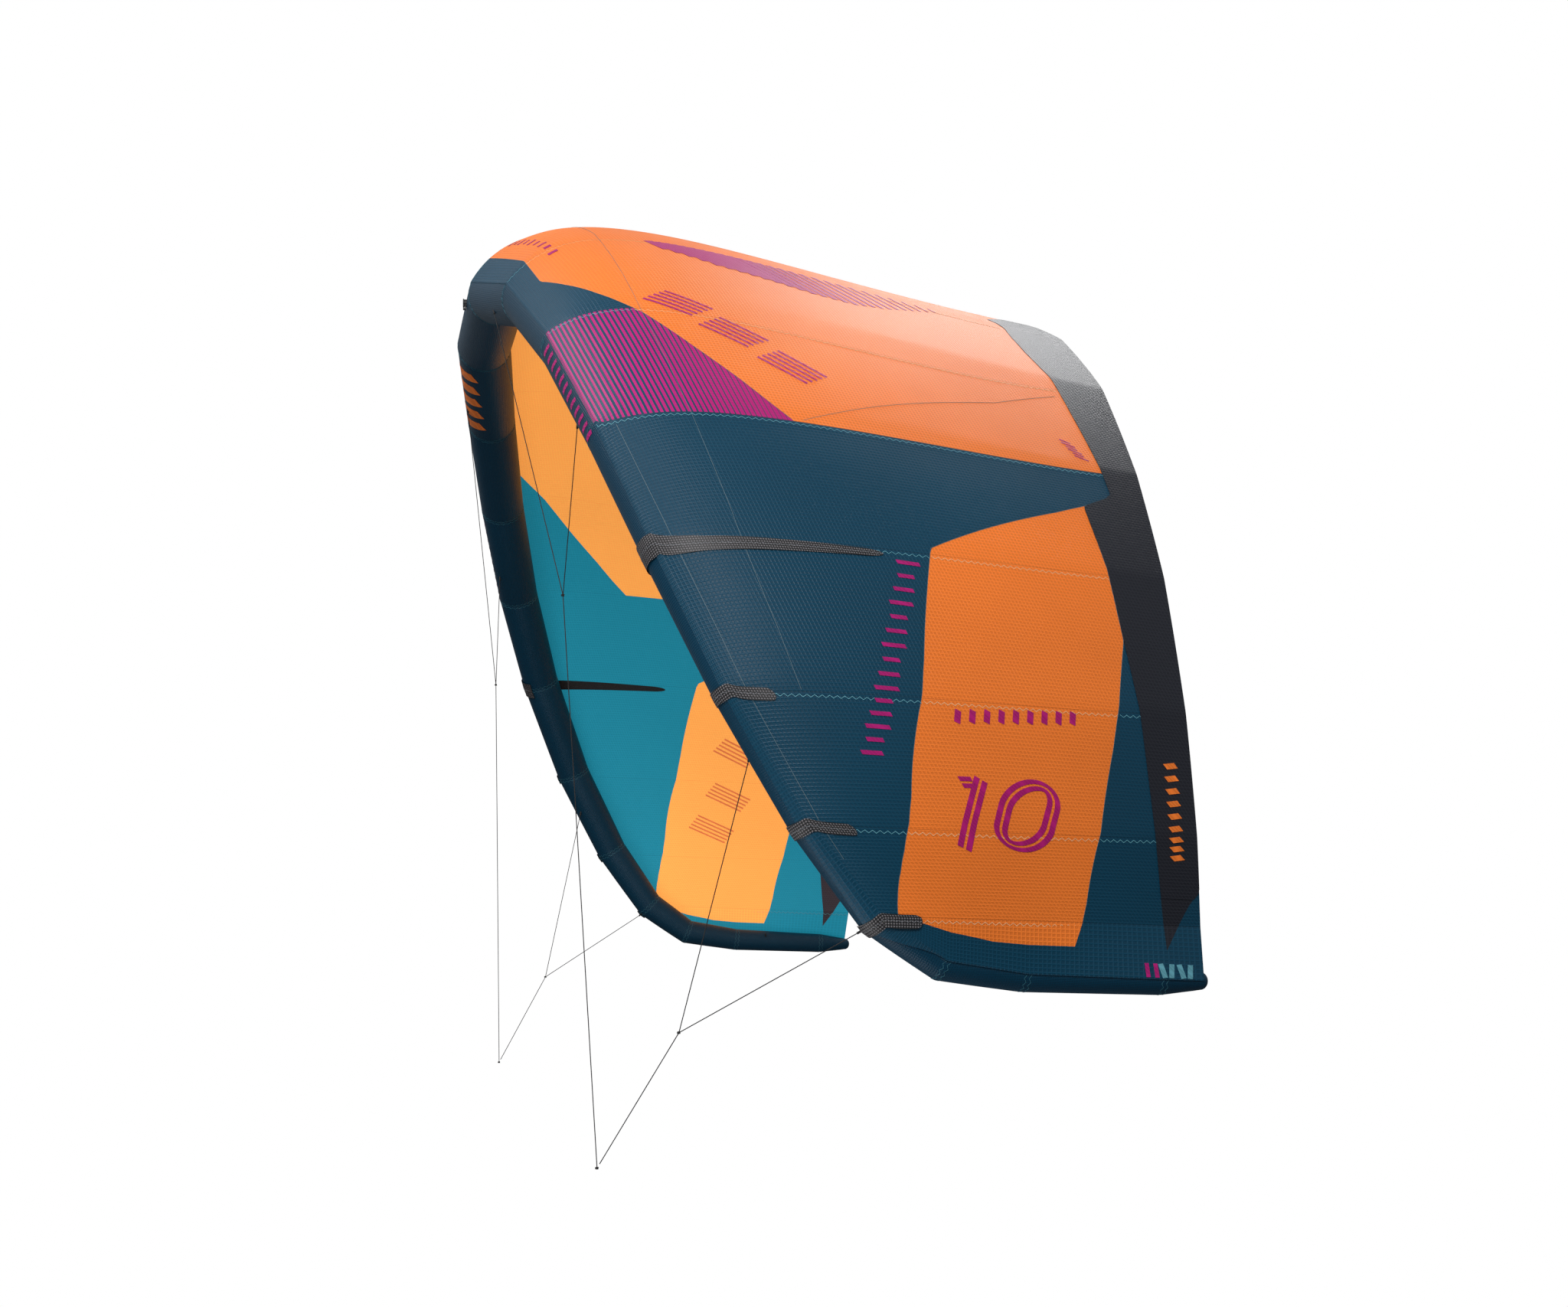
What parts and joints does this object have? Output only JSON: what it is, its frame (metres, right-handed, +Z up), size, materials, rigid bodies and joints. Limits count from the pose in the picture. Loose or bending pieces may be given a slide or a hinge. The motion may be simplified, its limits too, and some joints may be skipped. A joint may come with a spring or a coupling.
{
  "type": "kitesurf kite",
  "caption": "Inflatable leading edge kite in flying shape: arched air tube, cambered cloth canopy with swept tips, load patches, inflation valve and a front line bridle on each side.",
  "frame": {"origin": "on the axis of the leading edge tube, in the kite's plane of symmetry", "axes": "+X along the span, toward the right wing tip as a rider sees it from behind; +Y aft, from leading edge to trailing edge; +Z up, away from the rider"},
  "size_m": [4.5224, 1.7816, 2.7252],
  "materials": {
    "casing_cloth": "woven polyester, teal",
    "orange_cloth": "ripstop, orange",
    "magenta_cloth": "ripstop, magenta",
    "teal_cloth": "ripstop, dark teal",
    "charcoal_cloth": "coated doubler, charcoal",
    "patch_webbing": "woven black webbing",
    "bladder_film": "clear urethane film",
    "valve_plastic": "moulded black plastic",
    "bridle_cord": "braided black cord"
  },
  "bodies": {
    "wing": {"bladder": "bladder_film", "bridle_beckets": "bridle_cord", "canopy_centre": "orange_cloth", "canopy_strip_1_left": "orange_cloth", "canopy_strip_1_right": "orange_cloth", "canopy_strip_2_left": "orange_cloth", "canopy_strip_2_right": "orange_cloth", "canopy_strip_3_left": "magenta_cloth", "canopy_strip_3_right": "magenta_cloth", "canopy_strip_4_left": "teal_cloth", "canopy_strip_4_right": "teal_cloth", "canopy_strip_5_left": "teal_cloth", "canopy_strip_5_right": "teal_cloth", "canopy_strip_6_left": "teal_cloth", "canopy_strip_6_right": "teal_cloth", "canopy_strip_7_left": "teal_cloth", "canopy_strip_7_right": "teal_cloth", "canopy_tip_left": "teal_cloth", "canopy_tip_right": "teal_cloth", "le_casing_1_left": "casing_cloth", "le_casing_1_right": "casing_cloth", "le_casing_2_left": "casing_cloth", "le_casing_2_right": "casing_cloth", "le_casing_3_left": "casing_cloth", "le_casing_3_right": "casing_cloth", "le_casing_4_left": "casing_cloth", "le_casing_4_right": "casing_cloth", "le_casing_5_left": "casing_cloth", "le_casing_5_right": "casing_cloth", "le_casing_6_left": "casing_cloth", "le_casing_6_right": "casing_cloth", "le_casing_7_left": "casing_cloth", "le_casing_7_right": "casing_cloth", "le_casing_centre": "casing_cloth", "le_casing_tip_left": "casing_cloth", "le_casing_tip_right": "casing_cloth", "load_patch_inner_left": "patch_webbing", "load_patch_inner_right": "patch_webbing", "load_patch_long_left": "patch_webbing", "load_patch_long_right": "patch_webbing", "load_patches_short_left": "patch_webbing", "load_patches_short_right": "patch_webbing", "rear_line_loops": "bridle_cord", "trailing_band": "charcoal_cloth", "valve_body": "valve_plastic"},
    "upper_legs_right": {"upper_leg_inner_right": "bridle_cord", "upper_leg_outer_right": "bridle_cord"},
    "upper_main_right": {"upper_main_right": "bridle_cord", "front_knot_right": "bridle_cord"},
    "lower_legs_right": {"lower_leg_inner_right": "bridle_cord", "lower_leg_outer_right": "bridle_cord"},
    "lower_main_right": {"lower_main_right": "bridle_cord"},
    "upper_legs_left": {"upper_leg_inner_left": "bridle_cord", "upper_leg_outer_left": "bridle_cord"},
    "upper_main_left": {"upper_main_left": "bridle_cord", "front_knot_left": "bridle_cord"},
    "lower_legs_left": {"lower_leg_inner_left": "bridle_cord", "lower_leg_outer_left": "bridle_cord"},
    "lower_main_left": {"lower_main_left": "bridle_cord"},
    "valve_cap": {"valve_cap": "valve_plastic"}
  },
  "joints": [
    {"name": "front_line_swing_right", "type": "hinge", "parent": "wing", "child": "upper_legs_right", "pos_m": [0.76194, -0.03447, -0.15297], "axis": [0.8468, 0.1645, -0.5058], "range_deg": [-5, 5]},
    {"name": "upper_main_swing_right", "type": "hinge", "parent": "upper_legs_right", "child": "upper_main_right", "pos_m": [1.44, 0.1, -1.069], "axis": [-0.1762, 0.9838, -0.0326], "range_deg": [-3.56, 3.56]},
    {"name": "lower_bridle_swing_right", "type": "hinge", "parent": "wing", "child": "lower_legs_right", "pos_m": [2.10967, 0.48043, -1.54908], "axis": [0.1285, 0.5065, -0.8526], "range_deg": [-9.69, 9.69]},
    {"name": "lower_main_swing_right", "type": "hinge", "parent": "lower_legs_right", "child": "lower_main_right", "pos_m": [1.974, 0.323, -2.195], "axis": [0.9303, -0.3636, -0.0486], "range_deg": [-10.84, 10.84]},
    {"name": "front_line_swing_left", "type": "hinge", "parent": "wing", "child": "upper_legs_left", "pos_m": [-0.76194, -0.03447, -0.15297], "axis": [0.8468, -0.1645, 0.5058], "range_deg": [-5, 5]},
    {"name": "upper_main_swing_left", "type": "hinge", "parent": "upper_legs_left", "child": "upper_main_left", "pos_m": [-1.44, 0.1, -1.069], "axis": [-0.1762, -0.9838, 0.0326], "range_deg": [-3.56, 3.56]},
    {"name": "lower_bridle_swing_left", "type": "hinge", "parent": "wing", "child": "lower_legs_left", "pos_m": [-2.10967, 0.48043, -1.54908], "axis": [0.1285, -0.5065, 0.8526], "range_deg": [-9.69, 9.69]},
    {"name": "lower_main_swing_left", "type": "hinge", "parent": "lower_legs_left", "child": "lower_main_left", "pos_m": [-1.974, 0.323, -2.195], "axis": [0.9303, 0.3636, 0.0486], "range_deg": [-10.84, 10.84]},
    {"name": "valve_cap_hinge", "type": "hinge", "parent": "wing", "child": "valve_cap", "pos_m": [0.25, -0.098, -0.018], "axis": [1, 0, 0], "range_deg": [0, 120]}
  ],
  "couplings": [
    {"joint": "upper_main_swing_right", "follows": "front_line_swing_right", "ratio": 0.70106},
    {"joint": "lower_bridle_swing_right", "follows": "front_line_swing_right", "ratio": 1.9276},
    {"joint": "lower_main_swing_right", "follows": "front_line_swing_right", "ratio": 2.1586},
    {"joint": "upper_main_swing_left", "follows": "front_line_swing_left", "ratio": 0.70106},
    {"joint": "lower_bridle_swing_left", "follows": "front_line_swing_left", "ratio": 1.9276},
    {"joint": "lower_main_swing_left", "follows": "front_line_swing_left", "ratio": 2.1586}
  ]
}
